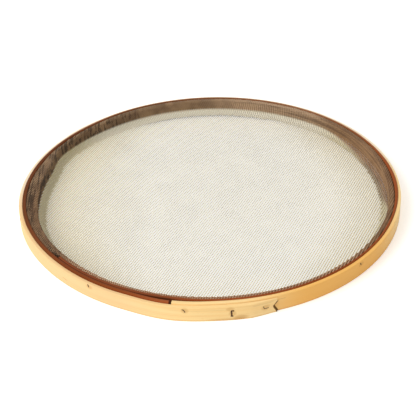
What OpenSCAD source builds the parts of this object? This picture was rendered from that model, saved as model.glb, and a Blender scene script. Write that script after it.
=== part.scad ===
// Tamis drum sieve: three bent strips wound into nested hoops, with a shallow
// pan of wire cloth whose edge is turned up and gripped between two of them.
// Lengths are in millimetres. Azimuths are in degrees from the front (-Y),
// positive towards +X, and run on past 360 where a strip laps over itself.

/* [Drum] */
// Outside diameter, midway between the one-layer and the two-layer side
drum_d = 400; // [260:5:520]
// Height of the rim above the table
drum_h = 18; // [16:0.5:30]
// Free play left between neighbouring layers
play = 0.1; // [0.05:0.05:0.2]

/* [Outer hoop] */
// Thickness of the pale outer strip
outer_t = 4; // [2.5:0.25:6]
// How far its first turn stays below the rim, at the front
outer_drop_front = 0.4; // [0.2:0.1:1.5]
// How far its first turn stays below the rim, at the back
outer_drop_back = 1.6; // [0.4:0.1:2.5]
// How far its lapping end stays below the rim
outer_drop_end = 1.8; // [0.4:0.1:3]
// Azimuth from which it runs that low, behind on the left
outer_low = -125; // [-140:1:-115]
// Azimuth where its lapping end stops
outer_end = 15.6; // [5:0.1:40]
// Angle over which the lapping end is shaved thin
outer_taper = 6; // [2:0.5:20]
// Thickness left at the tip of the lapping end
outer_tip_t = 1.2; // [0.8:0.1:2]

/* [Middle hoop] */
// Thickness of the brown middle strip
middle_t = 3.2; // [2:0.1:5]
// Width of the middle strip, measured down from the rim
middle_w = 13.5; // [10:0.5:15]
// Azimuth of its square inner end, past the end of the inner strip
middle_start = -51; // [-53:0.5:-49]
// Azimuth of its square outer end, where the outer hoop begins
middle_end = -12; // [-15:0.5:-11]
// How far the butted ends spring outwards
butt_lift = 1.6; // [0:0.1:2.5]
// Angle over which the butted ends spring outwards
butt_span = 14; // [8:1:14]
// Angle left open between the butted ends
butt_gap = 0.4; // [0.2:0.1:1.5]

/* [Inner hoop] */
// Thickness of the thin inner strip
inner_t = 2; // [1:0.1:2.5]
// Width of the inner strip
inner_w = 12.7; // [9:0.5:14]
// Azimuth of its free inner end, on the left
inner_start = -103; // [-108:1:-98]
// Azimuth of its outer end
inner_end = -57; // [-60:0.5:-55]
// How far the free inner end stands off inwards
inner_lift = 5.2; // [2.8:0.1:6]
// Angle over which it comes to stand off
lift_span = 40; // [30:1:45]
// Angle over which the cloth steps back past the free end
inner_climb = 16; // [12:1:20]
// How far the lap of the inner strip swells the layers round it
swell = 5.3; // [5:0.1:6.5]
// Azimuth where the swelling is highest
swell_top = -82; // [-86:1:-78]
// Angle over which the swelling dies out towards the back
swell_span = 62; // [54:1:70]
// Angle from the ends of the lap to the ends of the wood that packs it
packing_inset = 1.5; // [1:0.5:4]

/* [Wire cloth] */
// Thickness of the woven cloth
cloth_t = 0.7; // [0.4:0.1:1.2]
// Height of the cloth's underside above the table
cloth_z = 0.6; // [0.4:0.1:2]
// Inside radius of the bend from floor to wall
cloth_bend = 5.5; // [3:0.5:8]
// How far the gripped edge reaches down between the hoops
cloth_tuck = 10; // [5:0.5:12]
// Spacing of the net that stands for the weave
net_pitch = 24; // [19:1:40]
// Width of the net's strands
net_strand = 1.2; // [0.8:0.1:3]
// Angle of the net's strands from the front-to-back line, clockwise from above
net_turn = 25; // [-45:1:45]

/* [Nails] */
// Shank diameter of the nails
nail_d = 1.6; // [1:0.1:2]
// Head diameter of the nails
nail_head_d = 2.6; // [2:0.1:4]
// Head thickness of the nails
nail_head_t = 0.5; // [0.3:0.1:0.8]
// Number of nails round the hoops
nail_count = 8; // [4:1:10]
// Azimuths of the first and the last nail round the hoops
nail_first = 45.2; // [42:0.1:60]
nail_last = -36.2; // [-37:0.1:-35]
// How far below the rim the nails round the hoops sit
nail_drop = 4; // [4:0.5:7]
// Azimuths of the three nails through the outer hoop's lap
lap_nail_a = -8.2; // [-9:0.1:-4]
lap_nail_b = 4.2; // [1:0.1:6]
lap_nail_c = 12.9; // [10:0.1:13]
// Heights of the three nails through the outer hoop's lap
lap_nail_a_z = 12.5; // [10:0.5:13]
lap_nail_b_z = 8; // [4:0.5:12]
lap_nail_c_z = 8.5; // [4:0.5:12]
// Shank diameter of the tacks that close the two inner laps
tack_d = 1; // [0.6:0.1:1.4]
// Head diameter of the tacks
tack_head_d = 2; // [1.6:0.1:3]
// Head thickness of the tacks
tack_head_t = 0.4; // [0.2:0.1:0.6]
// Angle from the end of a lap to its tack
tack_inset = 6; // [4:0.5:9]
// Wood left behind the tips of the nails
nail_cover = 0.7; // [0.4:0.1:1.2]
// Wood left behind the tips of the tacks
tack_cover = 0.4; // [0.3:0.1:0.8]
// How far the heads are sunk into the wood
head_sink = 0.15; // [0:0.05:0.4]
// Radial play round a nail or tack in its hole
hole_play = 0.03; // [0.02:0.01:0.1]

/* [Hidden] */

pale_wood = [0.90, 0.73, 0.48];
brown_wood = [0.50, 0.25, 0.13];
wire_grey = [0.72, 0.70, 0.64];
nail_steel = [0.28, 0.22, 0.16];

turn = 360;
step = 4.5;
bend_steps = 3;
nail_sides = 12;
over = 1;
// Angle past the middle strip's inner end where the swelling has died out
swell_past = 5;

// Radii of the layers on the side where each hoop is one layer thick
outer_r_in = drum_d/2 - (middle_t + play)/2 - outer_t;
middle_r_in = outer_r_in - play - middle_t;
inner_r_in = middle_r_in - cloth_t - 2*play - inner_t;

// Heights
middle_z = drum_h - middle_w;
inner_top = drum_h - cloth_t - play;
inner_z = inner_top - inner_w;
tack_z = drum_h - middle_w/2;

// Azimuths of the strips' ends, in order
outer_start = middle_end + butt_gap;
packing_start = inner_start + packing_inset;
packing_end = inner_end - packing_inset;
ends = [outer_low, inner_start, packing_start, packing_end, inner_end,
        middle_start, middle_end, outer_start, outer_end];

// A smooth rise from 0 to 1 as x goes from 0 to 1
function ease(x) = x <= 0 ? 0 : x >= 1 ? 1 : x*x*(3 - 2*x);

// A point at radius r and azimuth a
function at(r, a) = [r*sin(a), -r*cos(a)];

// Azimuths from a to b: the whole steps between them, and each strip's end that
// lies there, so that the chords of neighbouring layers lie on each other
function stations(a, b) = [
    a,
    for (k = [floor(a/step) : ceil(b/step) - 1]) each [
        if (k*step > a) k*step,
        for (e = ends, s = [e, e + turn])
            if (s > max(a, k*step) && s < min(b, (k + 1)*step)) s],
    b];

// How far the layers are pushed out at azimuth a, from -180 to 180, by the lap of
// the inner strip on the left and by the middle strip's own first turn after it
function push(a) =
    a > swell_top
        ? middle_t + play + (swell - middle_t - play)
          *ease((middle_start + swell_past - a)/(middle_start + swell_past - swell_top))
        : swell*ease((a - swell_top + swell_span)/swell_span);

// Inner face of the middle strip, whose second turn is pushed out
function middle_in(s) =
    middle_r_in + push(s - turn)
    + (outer_t - middle_t + butt_lift)*ease((s - (middle_end + turn - butt_span))/butt_span);

// Inner face of the outer strip: it bears on the middle strip, then on its own first turn
function outer_in(s) =
    s > middle_end + turn
        ? outer_in(s - turn) + outer_t + play
        : max(middle_in(s) + middle_t + play,
              outer_r_in + butt_lift*ease((outer_start + butt_span - s)/butt_span));

// Thickness of the outer strip, shaved thin at its lapping end
function outer_thick(s) =
    outer_t - (outer_t - outer_tip_t)
    *min(1, max(0, (s - (outer_end + turn - outer_taper))/outer_taper));

// Inner face of the inner strip, whose free end stands off inwards
function inner_in(s) =
    inner_r_in + push(s - turn) - inner_lift*ease((inner_end - s)/lift_span);

// Inner face of the wooden wall at any azimuth from -180 to 180
function wall(a) =
    a > inner_start ? inner_in(a)
    : inner_in(a + turn) - (inner_in(inner_start + turn) - inner_in(inner_start))
      *ease((a - inner_start + inner_climb)/inner_climb);

// Outer face of the cloth's gripped edge, which crosses to the inner side of the
// middle strip between the end of the inner strip and the start of the middle one
function tail(a) =
    middle_r_in - play + push(a)*ease((middle_start - a)/(middle_start - inner_end));

// Outer face of the drum at any azimuth from -180 to 180
function skin(a) =
    a > outer_end ? outer_in(a) + outer_t : outer_in(a + turn) + outer_thick(a + turn);

// Azimuth a folded into -180 to 180
function fold(a) = a > turn/2 ? a - turn : a;

// Azimuths all round, each once
around = [for (a = stations(-turn/2, turn/2)) if (a < turn/2) a];

// The middle of the outer hoop's outline, which is set on the origin
rim = [for (a = around) at(skin(a), a)];
rim_x = [for (p = rim) p[0]];
rim_y = [for (p = rim) p[1]];
shift = -[max(rim_x) + min(rim_x), max(rim_y) + min(rim_y)]/2;

module placed() {
    translate([shift[0], shift[1], 0]) children();
}

// Outline of a strip whose inner and outer faces are given at each azimuth
module strip_outline(azimuths, inside, outside) {
    last = len(azimuths) - 1;
    polygon(concat(
        [for (i = [0 : last]) at(outside[i], azimuths[i])],
        [for (i = [0 : last]) at(inside[last - i], azimuths[last - i])]));
}

// A nail along the radius, head outwards, from radius r_tip to radius r_head
module radial_nail(a, z, r_tip, r_head, d, head_d, head_t) {
    rotate([0, 0, a - 90]) translate([0, 0, z]) rotate([0, 90, 0]) {
        translate([0, 0, r_tip]) cylinder(d = d, h = r_head - r_tip, $fn = nail_sides);
        translate([0, 0, r_head - head_t]) cylinder(d = head_d, h = head_t, $fn = nail_sides);
    }
}

// The hole that such a nail leaves, open past its head
module radial_hole(a, z, r_tip, r_head, d, head_d, head_t) {
    rotate([0, 0, a - 90]) translate([0, 0, z]) rotate([0, 90, 0]) {
        translate([0, 0, r_tip - over/2])
            cylinder(d = d + 2*hole_play, h = r_head - r_tip + over, $fn = nail_sides);
        translate([0, 0, r_head - head_t - hole_play])
            cylinder(d = head_d + 2*hole_play, h = head_t + 3*over, $fn = nail_sides);
    }
}

// Nails round the hoops: through the outer hoop and into the middle one
nail_pitch = (nail_last + turn - nail_first)/(nail_count - 1);
hoop_nail_azimuths = [for (k = [0 : nail_count - 1]) fold(nail_first + k*nail_pitch)];

module each_hoop_nail(hole) {
    z = drum_h - nail_drop;
    for (a = hoop_nail_azimuths) {
        r_head = skin(a) - head_sink;
        r_tip = middle_in(a < middle_start ? a + turn : a) + nail_cover;
        if (hole)
            radial_hole(a, z, r_tip, r_head, nail_d, nail_head_d, nail_head_t);
        else
            radial_nail(a, z, r_tip, r_head, nail_d, nail_head_d, nail_head_t);
    }
}

// Nails through the outer hoop's lap: end over start
lap_nail_spots = [[lap_nail_a, lap_nail_a_z], [lap_nail_b, lap_nail_b_z],
                  [lap_nail_c, lap_nail_c_z]];

module each_lap_nail(hole) {
    for (spot = lap_nail_spots) {
        r_head = skin(spot[0]) - head_sink;
        r_tip = outer_in(spot[0]) + nail_cover;
        if (hole)
            radial_hole(spot[0], spot[1], r_tip, r_head, nail_d, nail_head_d, nail_head_t);
        else
            radial_nail(spot[0], spot[1], r_tip, r_head, nail_d, nail_head_d, nail_head_t);
    }
}

// Tacks through the middle hoop's lap: outer layer into inner layer
middle_tack_azimuths = [middle_start + tack_inset, middle_end - butt_span - tack_inset];

module each_middle_tack(hole) {
    for (a = middle_tack_azimuths) {
        r_head = middle_in(a + turn) + middle_t - head_sink;
        r_tip = middle_r_in + tack_cover;
        if (hole)
            radial_hole(a, tack_z, r_tip, r_head, tack_d, tack_head_d, tack_head_t);
        else
            radial_nail(a, tack_z, r_tip, r_head, tack_d, tack_head_d, tack_head_t);
    }
}

// Tacks through the inner hoop's lap, near its outer end
inner_tack_azimuths = [inner_end - tack_inset, inner_end - 2*tack_inset];

module each_inner_tack(hole) {
    for (a = inner_tack_azimuths) {
        r_head = inner_in(a + turn) + inner_t - head_sink;
        r_tip = inner_in(a) + tack_cover;
        if (hole)
            radial_hole(a, tack_z, r_tip, r_head, tack_d, tack_head_d, tack_head_t);
        else
            radial_nail(a, tack_z, r_tip, r_head, tack_d, tack_head_d, tack_head_t);
    }
}

module outer_hoop() {
    color(pale_wood) placed() difference() {
        s = stations(outer_start, outer_end + turn);
        lap = stations(outer_low + turn, outer_end + turn);
        first_h = drum_h - outer_drop_front;
        mean_h = drum_h - (outer_drop_front + outer_drop_back)/2;
        tilt = atan((outer_drop_back - outer_drop_front)/drum_d);
        linear_extrude(first_h + over)
            strip_outline(s, [for (a = s) outer_in(a)],
                          [for (a = s) outer_in(a) + outer_thick(a)]);
        // The first turn's top edge slopes gently down to the back
        translate([0, 0, mean_h]) rotate([-tilt, 0, 0])
            translate([-drum_d, -drum_d, 0]) cube([2*drum_d, 2*drum_d, 3*over]);
        // The lapping end lies lower
        translate([0, 0, drum_h - outer_drop_end]) linear_extrude(4*over)
            strip_outline(lap, [for (a = lap) outer_in(a) - play/2],
                          [for (a = lap) outer_in(a) + outer_t + over]);
        each_hoop_nail(true);
        each_lap_nail(true);
    }
}

module middle_hoop() {
    color(brown_wood) placed() difference() {
        s = stations(middle_start, middle_end + turn);
        translate([0, 0, middle_z]) linear_extrude(middle_w)
            strip_outline(s, [for (a = s) middle_in(a)],
                          [for (a = s) middle_in(a) + middle_t]);
        each_hoop_nail(true);
        each_middle_tack(true);
    }
}

module inner_hoop() {
    color(brown_wood) placed() difference() {
        s = stations(inner_start, inner_end + turn);
        translate([0, 0, inner_z]) linear_extrude(inner_w)
            strip_outline(s, [for (a = s) inner_in(a)],
                          [for (a = s) inner_in(a) + inner_t]);
        each_inner_tack(true);
    }
}

// A crescent of wood that fills the inner strip's lap
module lap_packing() {
    color(brown_wood) placed() difference() {
        s = stations(packing_start, packing_end);
        translate([0, 0, inner_z]) linear_extrude(inner_w)
            strip_outline(s, [for (a = s) inner_in(a) + inner_t + play],
                          [for (a = s) inner_in(a + turn) - play]);
        each_inner_tack(true);
    }
}

// The floor's edge, where the bend begins
function floor_edge(a) = wall(a) - play - cloth_t - cloth_bend;

module floor_outline(inset) {
    polygon([for (a = around) at(floor_edge(a) - inset, a)]);
}

// The flat floor of the cloth: a net inside a solid edge
module cloth_floor() {
    color(wire_grey) placed() translate([0, 0, cloth_z]) linear_extrude(cloth_t)
        difference() {
            floor_outline(0);
            intersection() {
                floor_outline(net_strand);
                rotate(-net_turn) net_gaps();
            }
        }
}

module net_gaps() {
    rows = floor(drum_d/2/net_pitch);
    gap = net_pitch - net_strand;
    for (i = [-rows : rows - 1], j = [-rows : rows - 1]) {
        corner = [i, j]*net_pitch + [net_strand, net_strand]/2;
        if (norm(corner + [gap, gap]/2) < floor_edge(0) + gap/4)
            translate(corner) square(gap);
    }
}

// Section of the turned-up edge at one azimuth, as radius and height
function skirt_section(a) = let (
    foot = floor_edge(a),
    z_bend = cloth_z + cloth_t + cloth_bend,
    face = wall(a) - play)
    concat(
        [for (k = [0 : bend_steps]) let (b = -90 + 90*k/bend_steps)
            [foot + cloth_bend*cos(b), z_bend + cloth_bend*sin(b)]],
        [[face - cloth_t, drum_h], [tail(a), drum_h], [tail(a), drum_h - cloth_tuck],
         [tail(a) - cloth_t, drum_h - cloth_tuck], [tail(a) - cloth_t, inner_top + play],
         [face, inner_top + play]],
        [for (k = [0 : bend_steps]) let (b = -90*k/bend_steps)
            [foot + (cloth_bend + cloth_t)*cos(b), z_bend + (cloth_bend + cloth_t)*sin(b)]]);

// The edge of the cloth: bent up the wall, over the inner hoop and down behind it
module cloth_skirt() {
    rings = len(around);
    count = len(skirt_section(0));
    points = [for (a = around, p = skirt_section(a))
        let (xy = at(p[0], a)) [xy[0], xy[1], p[1]]];
    faces = [for (k = [0 : rings - 1], i = [0 : count - 1])
        let (m = ((k + 1) % rings)*count, j = (i + 1) % count, n = k*count)
        each [[n + i, n + j, m + j], [n + i, m + j, m + i]]];
    color(wire_grey) placed() polyhedron(points, faces);
}

module hoop_nails() {
    color(nail_steel) placed() each_hoop_nail(false);
}

module lap_nails() {
    color(nail_steel) placed() each_lap_nail(false);
}

module middle_tacks() {
    color(nail_steel) placed() each_middle_tack(false);
}

module inner_tacks() {
    color(nail_steel) placed() each_inner_tack(false);
}

outer_hoop();
middle_hoop();
inner_hoop();
lap_packing();
cloth_floor();
cloth_skirt();
hoop_nails();
lap_nails();
middle_tacks();
inner_tacks();
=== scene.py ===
import math

import bpy
import numpy as np
from mathutils import Matrix, Vector


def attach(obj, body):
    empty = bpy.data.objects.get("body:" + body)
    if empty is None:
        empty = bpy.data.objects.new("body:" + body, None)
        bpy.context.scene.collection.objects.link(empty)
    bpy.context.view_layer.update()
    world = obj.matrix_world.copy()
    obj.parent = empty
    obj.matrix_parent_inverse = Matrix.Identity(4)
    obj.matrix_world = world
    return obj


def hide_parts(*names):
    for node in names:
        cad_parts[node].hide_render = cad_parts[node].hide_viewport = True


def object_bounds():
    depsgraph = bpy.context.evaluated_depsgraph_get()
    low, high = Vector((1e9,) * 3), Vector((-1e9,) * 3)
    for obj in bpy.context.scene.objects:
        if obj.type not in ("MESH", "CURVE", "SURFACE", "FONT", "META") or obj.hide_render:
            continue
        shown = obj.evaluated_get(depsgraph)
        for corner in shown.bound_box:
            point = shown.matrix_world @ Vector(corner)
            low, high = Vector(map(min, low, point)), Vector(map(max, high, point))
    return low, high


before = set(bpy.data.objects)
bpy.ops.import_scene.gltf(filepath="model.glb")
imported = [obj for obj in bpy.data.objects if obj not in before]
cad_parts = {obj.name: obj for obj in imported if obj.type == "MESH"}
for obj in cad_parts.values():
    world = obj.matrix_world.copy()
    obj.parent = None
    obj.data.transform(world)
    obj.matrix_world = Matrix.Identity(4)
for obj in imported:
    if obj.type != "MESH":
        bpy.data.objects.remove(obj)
cad_box = [list(corner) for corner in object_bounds()]

MM = 0.001
TURN = 360.0

# Sizes of the drum, as the CAD part has them
DRUM_R = 200*MM
DRUM_H = cad_box[1][2]
PLAY = 0.1*MM
OUTER_T, OUTER_DROP_FRONT, OUTER_DROP_BACK, OUTER_DROP_END = 4*MM, 0.4*MM, 1.6*MM, 1.8*MM
OUTER_LOW, OUTER_END, OUTER_TAPER, OUTER_TIP_T = -125.0, 15.6, 6.0, 1.2*MM
MIDDLE_T, MIDDLE_W, MIDDLE_START, MIDDLE_END = 3.2*MM, 13.5*MM, -51.0, -12.0
BUTT_LIFT, BUTT_SPAN, BUTT_GAP = 1.6*MM, 14.0, 0.4
INNER_T, INNER_W, INNER_START, INNER_END = 2*MM, 12.7*MM, -103.0, -57.0
INNER_LIFT, LIFT_SPAN, INNER_CLIMB = 5.2*MM, 40.0, 16.0
SWELL, SWELL_TOP, SWELL_SPAN, SWELL_PAST, PACKING_INSET = 5.3*MM, -82.0, 62.0, 5.0, 1.5
CLOTH_T, CLOTH_Z, CLOTH_BEND, CLOTH_TUCK = 0.7*MM, 0.6*MM, 5.5*MM, 10*MM

# Radii and heights that follow from them
OUTER_START = MIDDLE_END + BUTT_GAP
OUTER_R_IN = DRUM_R - (MIDDLE_T + PLAY)/2 - OUTER_T
MIDDLE_R_IN = OUTER_R_IN - PLAY - MIDDLE_T
INNER_R_IN = MIDDLE_R_IN - CLOTH_T - 2*PLAY - INNER_T
MIDDLE_Z = DRUM_H - MIDDLE_W
INNER_TOP = DRUM_H - CLOTH_T - PLAY


def ease(x):
    """A smooth rise from 0 to 1 as x goes from 0 to 1."""
    x = np.clip(x, 0, 1)
    return x*x*(3 - 2*x)


def push(a):
    """How far the layers are pushed out by the inner strip's lap, and by the middle strip's
    own first turn after it."""
    first = MIDDLE_T + PLAY
    end = MIDDLE_START + SWELL_PAST
    ahead = first + (SWELL - first)*ease((end - a)/(end - SWELL_TOP))
    behind = SWELL*ease((a - SWELL_TOP + SWELL_SPAN)/SWELL_SPAN)
    return np.where(a > SWELL_TOP, ahead, behind)


def middle_in(s):
    """Inner face of the middle strip at azimuth s along it."""
    spring = (OUTER_T - MIDDLE_T + BUTT_LIFT)*ease((s - (MIDDLE_END + TURN - BUTT_SPAN))/BUTT_SPAN)
    return MIDDLE_R_IN + push(s - TURN) + spring


def outer_first(s):
    """Inner face of the outer strip's first turn."""
    spring = OUTER_R_IN + BUTT_LIFT*ease((OUTER_START + BUTT_SPAN - s)/BUTT_SPAN)
    return np.maximum(middle_in(s) + MIDDLE_T + PLAY, spring)


def outer_in(s):
    """Inner face of the outer strip: its lapping end lies on its first turn."""
    return np.where(s > MIDDLE_END + TURN, outer_first(s - TURN) + OUTER_T + PLAY, outer_first(s))


def outer_thick(s):
    """The outer strip's thickness, which is shaved down towards the lapping end."""
    shaved = np.clip((s - (OUTER_END + TURN - OUTER_TAPER))/OUTER_TAPER, 0, 1)
    return OUTER_T - (OUTER_T - OUTER_TIP_T)*shaved


def inner_in(s):
    """Inner face of the inner strip, whose free end stands off inwards."""
    return INNER_R_IN + push(s - TURN) - INNER_LIFT*ease((INNER_END - s)/LIFT_SPAN)


def wall(a):
    """Inner face of the wooden wall at any azimuth from -180 to 180."""
    stand_off = inner_in(np.float64(INNER_START + TURN)) - inner_in(np.float64(INNER_START))
    step = stand_off*ease((a - INNER_START + INNER_CLIMB)/INNER_CLIMB)
    return np.where(a > INNER_START, inner_in(a), inner_in(a + TURN) - step)


def bump(a, middle, half):
    """A smooth hump, 1 at an azimuth and 0 at half degrees from it and beyond."""
    return ease(1 - np.abs(a - middle)/half)


# Unevenness that the CAD strips don't have: each hump is the azimuth of its middle, half
# its width in degrees and its height
SLACK_HUMPS = ((-50, 30, 1.4*MM), (62, 30, 0.7*MM), (100, 38, 2.4*MM))
THICK_HUMP = (-100, 45, 0.8*MM)
PARED_HUMP = (92, 26, 1.2*MM)
PLANED, PLANED_UNTIL, PLANED_FADE, DOUBLED_FADE = 1.0*MM, -152, 20, 8


def hump(a, middle, half, height):
    """A smooth hump of a given height."""
    return height*bump(a, middle, half)


def slack(a):
    """How far the inner strip and the cloth on it stand inwards, where they weren't pulled tight."""
    return sum(hump(a, *place) for place in SLACK_HUMPS)


def planed(a):
    """How much is planed off the middle strip's inner face: nothing from the left round to the end
    of its doubled stretch, and less than nothing on the left, where it was left thicker."""
    untouched = ease((a - PLANED_UNTIL)/PLANED_FADE)*ease((MIDDLE_END + DOUBLED_FADE - a)/DOUBLED_FADE)
    return PLANED*(1 - untouched) - hump(a, *THICK_HUMP)


def pared(a):
    """How much thinner the outer strip is inside on the right, and the middle strip thicker
    outside."""
    return hump(a, *PARED_HUMP)


def tail(a):
    """Outer face of the cloth's gripped edge, which crosses to the middle strip's inner side."""
    crossing = push(a)*ease((MIDDLE_START - a)/(MIDDLE_START - INNER_END))
    return MIDDLE_R_IN - PLAY + crossing + planed(a)


def skin(a):
    """Outer face of the drum at any azimuth from -180 to 180."""
    return np.where(a > OUTER_END, outer_in(a) + OUTER_T, outer_in(a + TURN) + outer_thick(a + TURN))


def hoop_centre():
    """The hoops' own centre: the frame's origin is the middle of the outline instead."""
    a = np.linspace(-TURN/2, TURN/2, 1441)
    x, y = skin(a)*np.sin(np.radians(a)), -skin(a)*np.cos(np.radians(a))
    return Vector((-(x.max() + x.min())/2, -(y.max() + y.min())/2, 0))


def turned(s):
    """Azimuth from -180 to 180 of a place on a strip."""
    return np.where(s > TURN/2, s - TURN, s)


def along_of(azimuth):
    """Length along a strip, from the front to an azimuth."""
    return math.radians(azimuth)*DRUM_R


CENTRE = hoop_centre()


def at(r, a):
    """Points at radius r and azimuth a, which is 0 at the front and grows towards +X."""
    return CENTRE.x + r*np.sin(np.radians(a)), CENTRE.y - r*np.cos(np.radians(a))


# Small help with the modelling tools

SHARP_DEGREES = 40
MERGE_WITHIN = 0.01*MM


def deselect():
    if bpy.context.object and bpy.context.object.mode != "OBJECT":
        bpy.ops.object.mode_set(mode="OBJECT")
    bpy.ops.object.select_all(action="DESELECT")


def select_only(piece):
    deselect()
    piece.select_set(True)
    bpy.context.view_layer.objects.active = piece


def editing(piece):
    select_only(piece)
    bpy.ops.object.mode_set(mode="EDIT")
    bpy.ops.mesh.select_all(action="SELECT")


def apply_modifiers(piece):
    select_only(piece)
    for modifier in list(piece.modifiers):
        bpy.ops.object.modifier_apply(modifier=modifier.name)


def repeat(piece, count, step, merge=True):
    """Copies of a shape in a row, joined where they meet."""
    array = piece.modifiers.new("row", "ARRAY")
    array.count = count
    array.use_relative_offset = False
    array.use_constant_offset = True
    array.constant_offset_displace = step
    array.use_merge_vertices = merge
    array.merge_threshold = MERGE_WITHIN
    apply_modifiers(piece)


def read_points(piece):
    points = np.empty(len(piece.data.vertices)*3)
    piece.data.vertices.foreach_get("co", points)
    return points.reshape(-1, 3)


def write_points(piece, points):
    piece.data.vertices.foreach_set("co", points.astype(np.float32).ravel())
    piece.data.update()


def keep_places(piece, points):
    """Stores where each point lay before the piece was bent, for patterns that follow it."""
    lay = piece.data.attributes.new("lay", "FLOAT_VECTOR", "POINT")
    lay.data.foreach_set("vector", points.astype(np.float32).ravel())


def cut_away(piece, spare):
    """Deletes the points that spare marks."""
    editing(piece)
    bpy.ops.mesh.select_all(action="DESELECT")
    bpy.ops.object.mode_set(mode="OBJECT")
    piece.data.vertices.foreach_set("select", spare)
    bpy.ops.object.mode_set(mode="EDIT")
    bpy.ops.mesh.delete(type="VERT")
    deselect()


def face_outwards(piece):
    editing(piece)
    bpy.ops.mesh.normals_make_consistent(inside=False)
    deselect()


def smooth(piece):
    select_only(piece)
    bpy.ops.object.shade_smooth_by_angle(angle=math.radians(SHARP_DEGREES))
    deselect()


def belongs(piece, slot, material, *nodes):
    piece.data.materials.clear()
    piece.data.materials.append(material)
    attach(piece, "root")
    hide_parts(*nodes)


def joined(name, pieces):
    deselect()
    for piece in pieces:
        piece.select_set(True)
    bpy.context.view_layer.objects.active = pieces[0]
    bpy.ops.object.join()
    pieces[0].name = pieces[0].data.name = name
    deselect()
    return pieces[0]


# Wooden strips

WIND_STEP = 1.0


def plank(name, run, thick, height, arris, segments, cuts=1):
    """A straight planed strip with eased edges: x runs along it, y outwards and z up."""
    deselect()
    bpy.ops.mesh.primitive_plane_add(size=1, location=(0, thick/2, height/2),
                                     rotation=(0, math.pi/2, 0))
    piece = bpy.context.object
    piece.name = piece.data.name = name
    piece.scale = (height, thick, 1)
    bpy.ops.object.transform_apply(location=True, rotation=True, scale=True)
    editing(piece)
    bpy.ops.mesh.bevel(offset=arris, segments=segments, affect="VERTICES")
    bpy.ops.mesh.delete(type="ONLY_FACE")
    bpy.ops.mesh.select_all(action="SELECT")
    bpy.ops.mesh.subdivide(number_cuts=cuts)
    count = math.ceil(run/math.radians(WIND_STEP)/DRUM_R)
    bpy.ops.mesh.extrude_edges_move(TRANSFORM_OT_translate={"value": (run/count, 0, 0)})
    deselect()
    repeat(piece, count, (run/count, 0, 0))
    editing(piece)
    bpy.ops.mesh.fill_holes(sides=0)
    bpy.ops.mesh.select_face_by_sides(number=4, type="GREATER", extend=False)
    bpy.ops.mesh.quads_convert_to_tris(ngon_method="BEAUTY")
    deselect()
    return piece


def waver(s, size, length, seed):
    """The unevenness of a hand-planed edge."""
    x = np.radians(s)*DRUM_R/length
    return size*(np.sin(1.0*x + seed) + 0.6*np.sin(2.3*x + 2.1*seed) + 0.4*np.sin(5.1*x + 3.7*seed))/2


def wind(piece, start, inner, thick, low, high, end_curl=None):
    """Bends a straight plank round the drum, with its inner face on inner(azimuth)."""
    flat = read_points(piece)
    across, rise = flat[:, 1]/flat[:, 1].max(), flat[:, 2]/flat[:, 2].max()
    s = start + np.degrees(flat[:, 0]/DRUM_R)
    if end_curl is not None:
        s = s + end_curl(s, rise)
    x, y = at(inner(s) + across*thick(s), s)
    z = low(s) + rise*(high(s, y) - low(s))
    keep_places(piece, np.stack([flat[:, 0] + along_of(start), flat[:, 1], z], 1))
    write_points(piece, np.stack([x, y, z], 1))
    face_outwards(piece)
    smooth(piece)


def outer_top(s, y):
    """The first turn's top edge slopes gently to the back, and the lapping end lies lower."""
    slope = (OUTER_DROP_BACK - OUTER_DROP_FRONT)/(2*DRUM_R)
    first = DRUM_H - (OUTER_DROP_FRONT + OUTER_DROP_BACK)/2 - slope*(y - CENTRE.y)
    settle = ease((s - (OUTER_LOW + TURN))/WIND_STEP)
    return first + (DRUM_H - OUTER_DROP_END - first)*settle - np.abs(waver(s, 0.15*MM, 40*MM, 1))


# The lapping end's line: how many degrees it reaches forwards, between which heights
HOOK, HOOK_LOW, HOOK_TOP = 0.95, 8.2*MM, 11.6*MM
SLANT, SLANT_TOP = 1.0, 8*MM
END_TRIM, END_SPAN = 0.2, 4


def lap_end_curl(s, rise):
    """The lapping end isn't cut straight: it hooks forwards above and slants forwards below."""
    near = ease((s - (OUTER_END + TURN - END_SPAN))/END_SPAN)
    z = rise*(DRUM_H - OUTER_DROP_END)
    hook = HOOK*ease((z - HOOK_LOW)/(HOOK_TOP - HOOK_LOW))
    return near*(hook + SLANT*ease((SLANT_TOP - z)/SLANT_TOP) + END_TRIM)


FOOT_RISE, FOOT_HALF, FOOT_FADE = 1.9*MM, 35, 25


def brown_foot(s):
    """The brown strips' lower edges, which rise a little at the back."""
    rise = FOOT_RISE*ease((FOOT_HALF - np.abs(s - TURN/2))/FOOT_FADE)
    return MIDDLE_Z + rise + np.abs(waver(s, 0.2*MM, 60*MM, 3))


def make_outer_hoop(material):
    run = math.radians(OUTER_END + TURN - OUTER_START)*DRUM_R
    piece = plank("outer_strip", run, OUTER_T, DRUM_H - OUTER_DROP_FRONT,
                  arris=0.5*MM, segments=2, cuts=7)
    wind(piece, OUTER_START, lambda s: outer_in(s) + pared(turned(s)),
         lambda s: outer_thick(s) - pared(turned(s)) - 0.1*MM - np.abs(waver(s, 0.15*MM, 70*MM, 4)),
         lambda s: 0, outer_top, lap_end_curl)
    belongs(piece, "pale_wood", material, "outer_hoop")


def make_middle_hoop(material):
    run = math.radians(MIDDLE_END - MIDDLE_START + TURN)*DRUM_R
    piece = plank("middle_strip", run, MIDDLE_T, MIDDLE_W, arris=0.45*MM, segments=3)
    wind(piece, MIDDLE_START, lambda s: middle_in(s) + planed(turned(s)),
         lambda s: MIDDLE_T - planed(turned(s)) + pared(turned(s)), brown_foot,
         lambda s, y: DRUM_H - np.abs(waver(s, 0.12*MM, 55*MM, 2)))
    belongs(piece, "brown_wood", material, "middle_hoop")


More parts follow.
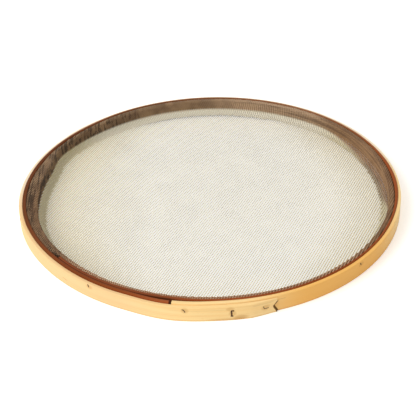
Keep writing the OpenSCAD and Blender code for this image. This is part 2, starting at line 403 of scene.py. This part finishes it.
def make_inner_hoop(material):
    run = math.radians(INNER_END - INNER_START + TURN)*DRUM_R
    piece = plank("inner_strip", run, INNER_T, INNER_W, arris=0.45*MM, segments=2)
    wind(piece, INNER_START, lambda s: inner_in(s) - slack(s),
         lambda s: INNER_T + slack(s) + np.where(s > INNER_END, planed(turned(s)), 0),
         brown_foot, lambda s, y: INNER_TOP)
    belongs(piece, "brown_wood", material, "inner_hoop")


def make_packing(material):
    """Thick layers of wood that fill the crescent in the inner strip's lap, and the wedge that
    the cloth spans past the strip's free end."""
    start, end, layers = INNER_START - INNER_CLIMB + 2, INNER_END - PACKING_INSET, 3

    def near(s):
        past_end = ease((s - INNER_START + 2.5)/2)
        return np.where(s > INNER_START - 0.3, inner_in(s), wall(s)) + PLAY + INNER_T*past_end

    def layer_thick(s):
        return (inner_in(s + TURN) - near(s))/layers - PLAY
    pieces = []
    for k in range(layers):
        piece = plank(f"packing_{k}", along_of(end - start), MIDDLE_T/2, INNER_W,
                      arris=0.3*MM, segments=2)
        wind(piece, start, lambda s: near(s) + k*(layer_thick(s) + PLAY), layer_thick, brown_foot,
             lambda s, y: INNER_TOP - k*0.3*MM)
        pieces.append(piece)
    belongs(joined("packing", pieces), "brown_wood", material, "lap_packing")


# The woven wire cloth

MESH_PITCH = 2.42*MM
WARP_D, WEFT_D, CRIMP = 0.66*MM, 0.26*MM, 0.3*MM
WIRE_SIDES = 4
WARP_TURN = 65.1
MID = CLOTH_T/2
FOLD_R, FOLD_ROOM = 0.9*MM, 0.15*MM
CLOTH_REACH = 220*MM
CLOGGED, THICKEST = 2.2, 1.3


def floor_edge(a):
    """Radius where the cloth begins to bend up."""
    return wall(a) - slack(a) - PLAY - CLOTH_T - CLOTH_BEND


def crust(u, v, floor):
    """How much thicker flour and dirt make the wires: a little at the two sides, and until they
    close the gaps in the bend, except in front, and on the wall at the back."""
    rho = np.hypot(u, v)
    near_rim = ease((rho/DRUM_R - 0.6)/0.35)
    right = ease((u - 60*MM)/(90*MM))
    left = ease((-u - 50*MM)/(90*MM))
    loose = near_rim*(0.1 + 0.5*right + 0.45*left) + 0.26*left
    if floor:
        return loose
    on_wall = ease((rho - floor_edge(np.degrees(np.arctan2(u, -v))) - 5*MM)/(4*MM))
    in_bend = ease((v + 110*MM)/(70*MM))
    clogged = in_bend + (ease((v + 40*MM)/(110*MM)) - in_bend)*on_wall
    return loose*(1 - clogged) + CLOGGED*clogged


def on_cloth(u, v, w):
    """Where a point of the flat cloth comes to lie: the floor, the bend, the wall, and over the
    inner hoop down between the hoops. w is the height above the middle of the cloth."""
    rho = np.hypot(u, v)
    a = np.degrees(np.arctan2(u, -v))
    bend_r = CLOTH_BEND + MID
    edge = floor_edge(a)
    face = edge + bend_r
    back = tail(a) - MID
    fold_z = DRUM_H - MID - FOLD_R - FOLD_ROOM
    lengths = [bend_r*math.pi/2, fold_z - CLOTH_Z - MID - bend_r, FOLD_R*math.pi/2,
               back - face - 2*FOLD_R, FOLD_R*math.pi/2]
    r, z = rho.copy(), CLOTH_Z + MID + w
    s = rho - edge
    t = np.clip(s, 0, lengths[0])/bend_r
    r = np.where(s > 0, edge + (bend_r - w)*np.sin(t), r)
    z = np.where(s > 0, CLOTH_Z + MID + bend_r - (bend_r - w)*np.cos(t), z)
    s = s - lengths[0]
    z = np.where(s > 0, CLOTH_Z + MID + bend_r + s, z)
    s = s - lengths[1]
    t = np.clip(s, 0, lengths[2])/FOLD_R
    r = np.where(s > 0, face + FOLD_R - (FOLD_R + w)*np.cos(t), r)
    z = np.where(s > 0, fold_z + (FOLD_R + w)*np.sin(t), z)
    s = s - lengths[2]
    r = np.where(s > 0, face + FOLD_R + s, r)
    s = s - lengths[3]
    t = np.clip(s, 0, lengths[4])/FOLD_R
    r = np.where(s > 0, back - FOLD_R + (FOLD_R + w)*np.sin(t), r)
    z = np.where(s > 0, fold_z + (FOLD_R + w)*np.cos(t), z)
    s = s - lengths[4]
    z = np.where(s > 0, fold_z - s, z)
    x, y = at(r, a)
    return np.stack([x, y, z], 1), s


def wires(name, turn, thickness, crimp, floor, material, node):
    """All the wires of one direction, on the floor or on the turned-up edge. Dirt swells them
    sideways, and hardly upwards."""
    half = math.ceil(CLOTH_REACH/MESH_PITCH)
    deselect()
    bpy.ops.mesh.primitive_circle_add(vertices=WIRE_SIDES, radius=thickness/2,
                                      location=(-half*MESH_PITCH, -half*MESH_PITCH, 0),
                                      rotation=(0, math.pi/2, 0))
    piece = bpy.context.object
    piece.name = piece.data.name = name
    bpy.ops.object.transform_apply(location=True, rotation=True, scale=True)
    editing(piece)
    bpy.ops.mesh.extrude_edges_move(TRANSFORM_OT_translate={"value": (MESH_PITCH, 0, 0)})
    deselect()
    repeat(piece, 2*half, (MESH_PITCH, 0, 0))
    repeat(piece, 2*half + 1, (0, MESH_PITCH, 0), merge=False)
    flat = read_points(piece)
    along = np.round(flat[:, 0]/MESH_PITCH).astype(int)
    across = np.round(flat[:, 1]/MESH_PITCH).astype(int)
    over = np.where((along + across) % 2 == 0, crimp, -crimp)
    c, s = math.cos(math.radians(turn)), math.sin(math.radians(turn))
    swollen = 1 + crust((along*c - across*s)*MESH_PITCH, (along*s + across*c)*MESH_PITCH, floor)
    flat[:, 1] = across*MESH_PITCH + (flat[:, 1] - across*MESH_PITCH)*swollen
    flat[:, 2] *= np.minimum(swollen, THICKEST)
    u = flat[:, 0]*c - flat[:, 1]*s
    v = flat[:, 0]*s + flat[:, 1]*c
    points, past_fold = on_cloth(u, v, flat[:, 2] + over)
    keep_places(piece, np.stack([flat[:, 0], flat[:, 1], over], 1))
    write_points(piece, points)
    centre = np.hypot(along, across)*MESH_PITCH
    a = np.degrees(np.arctan2(along*c - across*s, -along*s - across*c))
    edge = floor_edge(a)
    if floor:
        spare = centre > edge
    else:
        spare = (past_fold > CLOTH_TUCK) | (centre < edge - MESH_PITCH)
    cut_away(piece, spare)
    face_outwards(piece)
    select_only(piece)
    bpy.ops.object.shade_smooth()
    belongs(piece, "wire", material, node)


def make_cloth():
    on_floor, on_edge = floor_wire(), edge_wire()
    wires("floor_warp", WARP_TURN, WARP_D, 0, True, on_floor, "cloth_floor")
    wires("floor_weft", WARP_TURN + 90, WEFT_D, CRIMP, True, on_floor, "cloth_floor")
    wires("edge_warp", WARP_TURN, WARP_D, 0, False, on_edge, "cloth_skirt")
    wires("edge_weft", WARP_TURN + 90, WEFT_D, CRIMP, False, on_edge, "cloth_skirt")


# Materials

def feed(tree, socket, value):
    """Gives a socket a link or a plain value."""
    if isinstance(value, Value):
        value = value.socket
    if isinstance(value, bpy.types.NodeSocket):
        tree.links.new(value, socket)
    else:
        socket.default_value = value


def set_stops(points, stops):
    """Colours along a ramp, the first at 0 and the last at 1."""
    points[0].color, points[1].color = stops[0][1], stops[-1][1]
    for position, colour in stops[1:-1]:
        points.new(position).color = colour


def add_node(tree, kind, settings=None, sockets=None):
    """Any node: its settings first, then its sockets, by their names or numbers."""
    node = tree.nodes.new(kind)
    for name, value in (settings or {}).items():
        if name == "stops":
            set_stops(node.color_ramp.elements, value)
        else:
            setattr(node, name, value)
    for key, value in (sockets or {}).items():
        feed(tree, node.inputs[key], value)
    return node


class Value:
    """A number in a material: Python's operators on it add Math nodes."""

    def __init__(self, tree, socket):
        self.tree, self.socket = tree, socket

    def _math(self, operation, *values):
        node = add_node(self.tree, "ShaderNodeMath", {"operation": operation}, dict(enumerate(values)))
        return Value(self.tree, node.outputs[0])

    def __add__(self, other):
        return self._math("ADD", self, other)

    def __radd__(self, other):
        return self._math("ADD", other, self)

    def __sub__(self, other):
        return self._math("SUBTRACT", self, other)

    def __rsub__(self, other):
        return self._math("SUBTRACT", other, self)

    def __mul__(self, other):
        return self._math("MULTIPLY", self, other)

    def __rmul__(self, other):
        return self._math("MULTIPLY", other, self)

    def __truediv__(self, other):
        return self._math("DIVIDE", self, other)

    def __abs__(self):
        return self._math("ABSOLUTE", self)

    def __mod__(self, other):
        return self._math("FLOORED_MODULO", self, other)

    def at_most(self, other):
        return self._math("MINIMUM", self, other)

    def at_least(self, other):
        return self._math("MAXIMUM", self, other)

    def rise(self, low, high):
        """0 below low, 1 above high, smooth between them, and the other way round if low > high."""
        start, end = (0.0, 1.0) if low < high else (1.0, 0.0)
        node = add_node(self.tree, "ShaderNodeMapRange", {"interpolation_type": "SMOOTHSTEP"}, {
            "Value": self, "From Min": min(low, high), "From Max": max(low, high),
            "To Min": start, "To Max": end})
        return Value(self.tree, node.outputs["Result"])


def paint(red, green, blue):
    """A colour given as it looks on a screen, from 0 to 255."""
    def linear(value):
        if value <= 10:
            return value/255/12.92
        return ((value/255 + 0.055)/1.055)**2.4
    return linear(red), linear(green), linear(blue), 1.0


def seen_directly(tree):
    """1 for what the camera sees, also by reflection or through glass, and 0 for other light."""
    path = add_node(tree, "ShaderNodeLightPath")
    seen = Value(tree, path.outputs["Is Camera Ray"])
    for other in ("Is Glossy Ray", "Is Transmission Ray"):
        seen = seen.at_least(Value(tree, path.outputs[other]))
    return seen


class Finish:
    """A material, and the few kinds of node that it is made of."""

    def __init__(self, name, **constants):
        self.material = bpy.data.materials.new(name)
        self.material.use_nodes = True
        self.tree = self.material.node_tree
        self.surface = self.tree.nodes["Principled BSDF"]
        self.set(**constants)

    def set(self, **sockets):
        for name, value in sockets.items():
            feed(self.tree, self.surface.inputs[name.replace("_", " ")], value)

    def lay(self):
        """The place on the strip or wire before it was bent."""
        return add_node(self.tree, "ShaderNodeAttribute", {"attribute_name": "lay"}).outputs["Vector"]

    def place(self):
        """The place on the finished object."""
        return add_node(self.tree, "ShaderNodeTexCoord").outputs["Object"]

    def parts(self, vector):
        node = add_node(self.tree, "ShaderNodeSeparateXYZ", None, {"Vector": vector})
        return [Value(self.tree, out) for out in node.outputs]

    def stretched(self, vector, x, y, z):
        node = add_node(self.tree, "ShaderNodeVectorMath", {"operation": "MULTIPLY"},
                        {0: vector, 1: (x, y, z)})
        return node.outputs["Vector"]

    def noise(self, vector, detail, roughness=0.55):
        node = add_node(self.tree, "ShaderNodeTexNoise", None, {
            "Vector": vector, "Scale": 1.0, "Detail": detail, "Roughness": roughness})
        return Value(self.tree, node.outputs[0])

    def blend(self, factor, first, second):
        node = add_node(self.tree, "ShaderNodeMix", {"data_type": "RGBA"},
                        {0: factor, 6: first, 7: second})
        return node.outputs[2]

    def ramp(self, value, *stops):
        """Colours by a number: each stop is the number and its colour."""
        low, high = stops[0][0], stops[-1][0]
        settings = {"stops": [((number - low)/(high - low), colour) for number, colour in stops]}
        node = add_node(self.tree, "ShaderNodeValToRGB", settings, {"Fac": (value - low)/(high - low)})
        return node.outputs["Color"]

    def relief(self, height, distance, strength=0.5):
        node = add_node(self.tree, "ShaderNodeBump", None, {
            "Height": height, "Distance": distance, "Strength": strength})
        self.set(Normal=node.outputs["Normal"])


GRAIN_RELIEF = 0.06*MM


def wood(name, light, middle, dark, grain, gloss):
    """Straight-grained wood whose grain runs along the strip."""
    finish = Finish(name, Specular_IOR_Level=0.08)
    lay = finish.lay()
    broad = finish.noise(finish.stretched(lay, 5, 90, 120), detail=3)
    fine = finish.noise(finish.stretched(lay, 22, 900, 1100), detail=4, roughness=0.65)
    lines = finish.noise(finish.stretched(lay, 3, 500, 520), detail=2)
    pores = finish.noise(finish.stretched(lay, 160, 2600, 2800), detail=1)
    cloud = finish.noise(finish.stretched(lay, 14, 30, 40), detail=2)
    tone = finish.blend(broad.rise(0.3, 0.7), light, middle)
    tone = finish.blend(lines.rise(0.52, 0.72)*grain, tone, dark)
    tone = finish.blend(fine.rise(0.5, 0.8)*(grain*0.8), tone, dark)
    tone = finish.blend(pores.rise(0.66, 0.74)*(grain*0.7), tone, dark)
    finish.tone = finish.blend(cloud.rise(0.62, 0.35)*0.22, tone, middle)
    finish.height = fine*0.6 + lines*0.4 - pores.rise(0.64, 0.74)*0.8
    finish.set(Roughness=fine*0.25 + gloss)
    return finish


def near_spot(along, up, spot_along, spot_up, half_along, half_up):
    """1 at a spot on a strip's face, falling to 0 at its border."""
    x = (along - spot_along)/half_along
    z = (up - spot_up)/half_up
    return (x*x + z*z).rise(1.0, 0.0)


def near_line(along, up, start, end, width):
    """1 on a straight scratch between two places on a strip's face."""
    slope = (end[1] - start[1])/(end[0] - start[0])
    off = abs(up - start[1] - (along - start[0])*slope)
    middle, half = (start[0] + end[0])/2, (end[0] - start[0])/2
    return off.rise(width, width*0.3)*abs(along - middle).rise(half, half*0.7)


NAIL_COUNT, NAIL_FIRST, NAIL_LAST, NAIL_DROP = 8, 45.2, -36.2, 4*MM
NAIL_PITCH = (NAIL_LAST + TURN - NAIL_FIRST)/(NAIL_COUNT - 1)
NAIL_Z = DRUM_H - NAIL_DROP
LAP_NAILS = {"slanted": (-8.2, 12.5*MM), "bracket": (4.2, 8*MM), "hooked": (12.9, 8.5*MM)}


def pale_wood():
    finish = wood("pale_wood", paint(255, 223, 162), paint(252, 211, 143), paint(226, 174, 104), 0.3, 0.38)
    along, _, up = finish.parts(finish.lay())
    honey = along.rise(along_of(6), along_of(27))*along.rise(along_of(78), along_of(50))
    tone = finish.blend(honey*0.85, finish.tone, paint(249, 187, 96))
    peach = along.rise(along_of(TURN - 95), along_of(TURN - 60))
    peach = peach*along.rise(along_of(TURN - 5), along_of(TURN - 30))
    tone = finish.blend(peach*0.6, tone, paint(238, 200, 152))

    # Rust round the nails
    nearest = (along - along_of(NAIL_FIRST) + along_of(NAIL_PITCH)/2) % along_of(NAIL_PITCH)
    stain = near_spot(nearest, up, along_of(NAIL_PITCH)/2 + 1*MM, NAIL_Z - 1*MM, 5*MM, 3*MM)*0.35
    spots = [(along_of(TURN + azimuth) + 1*MM, z, 4.5*MM, 4*MM, 0.35) for azimuth, z in LAP_NAILS.values()]
    spots.append((along_of(TURN + 6.7), 3*MM, 9*MM, 3.5*MM, 0.45))
    spots.append((along_of(TURN + 3), 1*MM, 22*MM, 3*MM, 0.3))
    for spot_along, spot_up, half_along, half_up, strength in spots:
        stain = stain + near_spot(along, up, spot_along, spot_up, half_along, half_up)*strength
    tone = finish.blend(stain.at_most(0.8), tone, paint(190, 132, 60))

    # The bleached top edge at the back, and the face darker towards the bottom
    bleached = along.rise(along_of(88), along_of(115))*along.rise(along_of(290), along_of(262))
    tone = finish.blend(bleached*up.rise(14.6*MM, 15.6*MM)*0.7, tone, paint(255, 240, 218))
    tone = finish.blend(up.rise(2.2*MM, 0.2*MM)*0.3, tone, paint(200, 150, 90))

    # Cracks along the grain, a scratch, and painted shadow with some dirt against the lap's end. Each
    # crack is the azimuth and height of its two ends, its width and how dark it is
    cracks = (
        (TURN + 9.5, 13.4*MM, TURN + 15, 13.1*MM, 0.5*MM, 0.6),
        (16, 13*MM, 19.5, 13.2*MM, 0.5*MM, 0.8),
        (TURN - 14, 12*MM, TURN + 4, 12.6*MM, 0.5*MM, 0.3),
        (TURN - 46.6, 6.9*MM, TURN - 44.3, 5.9*MM, 0.55*MM, 1.0))
    crack = sum(
        near_line(along, up, (along_of(first), low), (along_of(last), high), width)*dark
        for first, low, last, high, width, dark in cracks)
    tone = finish.blend(crack.at_most(1.0)*0.4, tone, paint(150, 104, 52))
    # Painted shadow, with some dirt, in the corner and gap against the lap's end, and on its cut end
    hook = up.rise(HOOK_LOW, HOOK_TOP)*along_of(HOOK) + up.rise(SLANT_TOP, 0)*along_of(SLANT)
    darkening = abs(along - hook - along_of(OUTER_END + 0.3)).rise(1.3*MM, 0.6*MM)
    shaded_cut_end = along.rise(along_of(OUTER_END + TURN - 0.36), along_of(OUTER_END + TURN - 0.22))
    shade_and_grime_at_lap_end = (darkening + shaded_cut_end).at_most(1.0)*up.rise(12.8*MM, 12*MM)
    tone = finish.blend(shade_and_grime_at_lap_end*0.92, tone, paint(100, 62, 18))
    finish.set(Base_Color=tone)
    finish.relief(finish.height, GRAIN_RELIEF)
    return finish.material


def brown_wood():
    """Reddish where its two turns lie side by side, nearly black on the left, paler behind, with painted
    shade at its cut end and between its doubled layers.
    """
    finish = wood("brown_wood", paint(182, 92, 44), paint(150, 72, 32), paint(84, 36, 12), 0.5, 0.36)
    along, out, _ = finish.parts(finish.lay())
    stain = finish.ramp(
        along*(1/along_of(1)),
        (-51, paint(118, 62, 30)), (-14, paint(126, 66, 32)), (0, paint(150, 76, 34)),
        (40, paint(136, 66, 18)), (100, paint(150, 78, 34)), (125, paint(142, 92, 54)),
        (150, paint(140, 106, 74)), (180, paint(120, 84, 54)), (225, paint(94, 62, 36)),
        (240, paint(72, 42, 16)), (285, paint(82, 48, 18)), (318, paint(104, 52, 14)),
        (334, paint(126, 64, 24)), (348, paint(160, 86, 44)))
    tone = finish.blend(0.72, finish.tone, stain)
    # Painted shade on the strip's cut end, in the dark notch at the butt
    shaded_cut_end = along.rise(along_of(MIDDLE_END + TURN - 0.5), along_of(MIDDLE_END + TURN - 0.2))
    tone = finish.blend(shaded_cut_end*0.9, tone, paint(62, 26, 8))

    # Painted shade: the dark line in the gap between the layers where they are doubled
    seam_shade = out.rise(MIDDLE_T - 0.8*MM, MIDDLE_T - 0.3*MM)*along.rise(along_of(-8), along_of(-14))
    seam_shade = seam_shade + out.rise(0.8*MM, 0.3*MM)*along.rise(along_of(304), along_of(312))
    tone = finish.blend(seam_shade.at_most(1.0)*0.6, tone, paint(50, 20, 6))
    finish.set(Base_Color=tone)
    finish.relief(finish.height, GRAIN_RELIEF)
    return finish.material


def dull_wood():
    """The inner strip and the packing, greyed under the wire, streaked, and painted lighter behind on
    the right, where the wall faces the lamp."""
    finish = wood("dull_wood", paint(158, 116, 84), paint(128, 90, 60), paint(48, 29, 17), 0.7, 0.5)
    x, y, _ = finish.parts(finish.place())
    # Painted light: lighter behind, towards the right, where the wall faces the lamp
    painted_light_behind = x.rise(-60*MM, 40*MM)*x.rise(170*MM, 100*MM)*y.rise(40*MM, 140*MM) + y.rise(120*MM, 170*MM)*0.3
    streak = finish.noise(finish.stretched(finish.lay(), 2, 700, 700), detail=1)
    streaks = streak.rise(0.5, 0.62)*(x.rise(20*MM, -60*MM) + x.rise(20*MM, 100*MM)*0.4)
    tone = finish.blend(streaks*0.75, finish.tone, paint(40, 24, 14))
    tone = finish.blend(painted_light_behind.at_most(1.0)*0.6, tone, paint(196, 164, 134))
    finish.set(Base_Color=finish.blend(x.rise(110*MM, 160*MM)*0.5, tone, paint(160, 118, 80)))
    finish.relief(finish.height, GRAIN_RELIEF)
    return finish.material


def wire(name, light, dark, metallic, roughness):
    finish = Finish(name, Metallic=metallic)
    lay = finish.lay()
    cloud = finish.noise(finish.stretched(lay, 30, 30, 0), detail=3)
    darkening = finish.noise(finish.stretched(lay, 900, 900, 300), detail=2)
    tone = finish.blend(cloud.rise(0.35, 0.65), light, dark)
    finish.tone = finish.blend(darkening.rise(0.5, 0.8)*0.25, tone, paint(150, 136, 108))
    finish.set(Base_Color=finish.tone, Roughness=darkening*0.3 + roughness)
    return finish


def dirty(finish):
    """Wire yellower and dirtier towards the rim at the two sides, with painted shade along the crease
    behind.
    """
    x, y, z = finish.parts(finish.place())
    patchy = finish.noise(finish.stretched(finish.place(), 12, 12, 0), detail=2)
    rr = ((x - CENTRE.x)*(x - CENTRE.x) + (y - CENTRE.y)*(y - CENTRE.y))/(DRUM_R*DRUM_R)
    rim = rr.rise(0.35, 0.9)*patchy.rise(0.1, 0.5)
    sides = x.rise(-50*MM, -150*MM) + x.rise(70*MM, 150*MM)*0.6
    dirt = (rim*0.5 + sides*0.5).at_most(0.95)*y.rise(185*MM, 165*MM)
    tone = finish.blend(dirt, finish.tone, paint(222, 208, 166))
    # Painted shade along the crease where the floor meets the bend, behind
    crease_shade = rr.rise(0.775, 0.79)*rr.rise(0.82, 0.81)*y.rise(120*MM, 150*MM)*z.rise(2*MM, 1.2*MM)
    crease_shade = crease_shade*abs(x).rise(95*MM, 50*MM)
    return finish.blend(crease_shade*0.8, tone, paint(104, 96, 74))


def floor_wire():
    finish = wire("tinned_wire", paint(200, 193, 170), paint(184, 176, 152), 0.3, 0.3)
    finish.set(Base_Color=dirty(finish))
    return finish.material


def edge_wire():
    """Like the floor at the bend, brown with old patina up the wall and over the top."""
    finish = wire("browned_edge_wire", paint(216, 209, 187), paint(203, 195, 172), 0.0, 0.6)
    x, y, z = finish.parts(finish.place())
    patchy = finish.noise(finish.stretched(finish.place(), 60, 60, 60), detail=3)
    brown = finish.blend(patchy.rise(0.35, 0.65), paint(164, 132, 98), paint(128, 100, 72))
    streak = finish.noise(finish.stretched(finish.place(), 600, 25, 120), detail=2)
    streaks = streak.rise(0.48, 0.62)*x.rise(-50*MM, -120*MM)
    brown = finish.blend(streaks*0.85, brown, paint(50, 38, 24))
    brown = finish.blend(x.rise(110*MM, 160*MM)*y.rise(-60*MM, 20*MM)*0.6, brown, paint(176, 134, 94))
    ring = finish.noise(finish.stretched(finish.place(), 12, 12, 600), detail=2)
    # Painted light on the wire over the wall behind on the right, where it faces the lamp
    painted_light_behind = x.rise(-20*MM, 60*MM)*x.rise(160*MM, 110*MM)*y.rise(60*MM, 140*MM)
    brown = finish.blend(painted_light_behind*0.6, brown, paint(206, 174, 142))
    brown = finish.blend(ring.rise(0.48, 0.6)*x.rise(0, 80*MM)*0.5, brown, paint(84, 56, 34))
    # Painted glints of the wires along the top of the fold in front
    fold_glints = z.rise(16.6*MM, 17.2*MM)*y.rise(-100*MM, -150*MM)
    brown = finish.blend(fold_glints, brown, paint(206, 166, 132))
    low = x.rise(130*MM, 175*MM)*y.rise(-60*MM, 0)
    # Painted highlight: the bend behind is coloured light, standing in for the sheen where the cloth bends
    # up
    behind = y.rise(100*MM, 150*MM)
    start = z + low*5*MM
    bend = finish.blend(behind, dirty(finish), paint(234, 226, 204))
    finish.set(Base_Color=finish.blend(start.rise(4.5*MM, 7.5*MM), bend, brown))
    return finish.material


def rusty_steel():
    finish = Finish("rusty_steel", Metallic=0.3)
    flakes = finish.noise(finish.stretched(finish.place(), 1500, 1500, 1500), detail=4)
    tone = finish.blend(flakes.rise(0.4, 0.65), paint(58, 38, 20), paint(98, 62, 30))
    finish.set(Base_Color=tone, Roughness=flakes*0.3 + 0.55)
    finish.relief(flakes, 0.1*MM, 0.6)
    return finish.material


# Nails

NAIL_SUNK, NAIL_FLATTENED = 0.22, 0.5


def bent_nail(name, azimuth, height, route, width):
    """A nail whose end is bent over and hammered into the outer face. The route is along and up
    the face from the nail's place."""
    curve = bpy.data.curves.new(name, "CURVE")
    curve.dimensions = "3D"
    curve.bevel_depth = width/2
    curve.bevel_resolution = 2
    curve.use_fill_caps = True
    line = curve.splines.new("POLY")
    line.points.add(len(route) - 1)
    for point, (along, up) in zip(line.points, route):
        point.co = (along, 0, up, 1)
    piece = bpy.data.objects.new(name, curve)
    bpy.context.scene.collection.objects.link(piece)
    select_only(piece)
    bpy.ops.object.convert(target="MESH")
    flat = read_points(piece)
    s = azimuth + np.degrees(flat[:, 0]/DRUM_R)
    r = skin(s) + flat[:, 1]*NAIL_FLATTENED - NAIL_SUNK*width
    x, y = at(r, s)
    write_points(piece, np.stack([x, y, flat[:, 2] + height], 1))
    face_outwards(piece)
    smooth(piece)
    return piece


def make_nails(material):
    dot = [(-0.5*MM, 1.4*MM), (0, 0), (0.5*MM, -1.5*MM)]
    azimuths = [(NAIL_FIRST + k*NAIL_PITCH + TURN/2) % TURN - TURN/2 for k in range(NAIL_COUNT)]
    round_nails = joined("round_nails", [
        bent_nail(f"round_nail_{k}", azimuth, NAIL_Z, dot, 1.4*MM)
        for k, azimuth in enumerate(azimuths)])
    belongs(round_nails, "nail_steel", material, "hoop_nails")
    routes = {
        "slanted": [(-1.6*MM, 1.1*MM), (-0.2*MM, 0.8*MM), (0.5*MM, 0), (1.3*MM, -1.9*MM)],
        "bracket": [(2.4*MM, 2.9*MM), (0.3*MM, 3.1*MM), (0, 2.4*MM), (0.2*MM, -2.4*MM),
                    (-0.2*MM, -3.1*MM), (1.6*MM, -3.1*MM)],
        "hooked": [(-0.4*MM, 1.9*MM), (0, 0.2*MM), (0.4*MM, -0.9*MM), (2.6*MM, -1.1*MM),
                   (4.6*MM, -0.8*MM)]}
    widths = {"slanted": 1.1*MM, "bracket": 2.4*MM, "hooked": 0.9*MM}
    lap_nails = joined("lap_end_nails", [
        bent_nail(f"{kind}_nail", *LAP_NAILS[kind], routes[kind], widths[kind])
        for kind in routes])
    belongs(lap_nails, "nail_steel", material, "lap_nails")


def dress_cad_nodes(material):
    """The tacks stay as the CAD part has them."""
    for name in ("middle_tacks", "inner_tacks"):
        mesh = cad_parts[name].data
        mesh.materials.clear()
        mesh.materials.append(material)


# Studio

TABLE_SIZE, TABLE_GLOW = 8, 0.36
FILL_STRENGTH = 0.62
WHITE = (1, 1, 1, 1)


def make_floor():
    deselect()
    bpy.ops.mesh.primitive_plane_add(size=TABLE_SIZE, location=(0, 0, 0))
    floor = bpy.context.object
    floor.name = "table"
    finish = Finish("white_table", Base_Color=paint(250, 248, 243), Roughness=0.8, Specular_IOR_Level=0.1)
    finish.set(Emission_Strength=seen_directly(finish.tree)*TABLE_GLOW, Emission_Color=WHITE)
    floor.data.materials.append(finish.material)


def make_world():
    """White where it is seen, and a softer fill for the object."""
    world = bpy.data.worlds.new("studio")
    bpy.context.scene.world = world
    world.use_nodes = True
    tree = world.node_tree
    tree.nodes.clear()
    fill = add_node(tree, "ShaderNodeBackground", None,
                    {"Color": (1.0, 0.99, 0.97, 1), "Strength": FILL_STRENGTH})
    shown = add_node(tree, "ShaderNodeBackground", None, {"Color": WHITE, "Strength": 1.0})
    mix = add_node(tree, "ShaderNodeMixShader", None,
                   {0: seen_directly(tree), 1: fill.outputs[0], 2: shown.outputs[0]})
    add_node(tree, "ShaderNodeOutputWorld", None, {0: mix.outputs[0]})


def make_lamp(name, azimuth, elevation, distance, size, watts):
    light = bpy.data.lights.new(name, "AREA")
    light.size = size
    light.energy = watts
    lamp = bpy.data.objects.new(name, light)
    bpy.context.scene.collection.objects.link(lamp)
    a, e = math.radians(azimuth), math.radians(elevation)
    lamp.location = Vector((math.sin(a)*math.cos(e), -math.cos(a)*math.cos(e), math.sin(e)))*distance
    lamp.rotation_euler = (-lamp.location).to_track_quat("-Z", "Y").to_euler()


def make_camera():
    """The photograph's view: the lens and shift hold for a square image of this many pixels."""
    image = 420
    focal_px, middle_x, middle_y = 1127.1, 212.15, 192.76
    elevation, roll, distance = math.radians(33.33), math.radians(1.5), 6*DRUM_R
    target = CENTRE + Vector((0, 0, 8.11*MM))
    data = bpy.data.cameras.new("camera")
    camera = bpy.data.objects.new("camera", data)
    bpy.context.scene.collection.objects.link(camera)
    data.sensor_width = 36
    data.lens = focal_px/image*data.sensor_width
    data.shift_x = (image/2 - middle_x)/image
    data.shift_y = (middle_y - image/2)/image
    camera.location = target + Vector((0, -math.cos(elevation), math.sin(elevation)))*distance
    look = (target - camera.location).to_track_quat("-Z", "Y").to_matrix()
    camera.rotation_euler = (look @ Matrix.Rotation(-roll, 3, "Z")).to_euler()
    bpy.context.scene.camera = camera


make_camera()
make_world()
make_floor()
make_lamp("key", azimuth=-60, elevation=42, distance=2.6, size=1.6, watts=38)
make_outer_hoop(pale_wood())
make_middle_hoop(brown_wood())
dull = dull_wood()
make_inner_hoop(dull)
make_packing(dull)
make_cloth()
rust = rusty_steel()
make_nails(rust)
dress_cad_nodes(rust)
bpy.context.scene.view_settings.view_transform = "Standard"
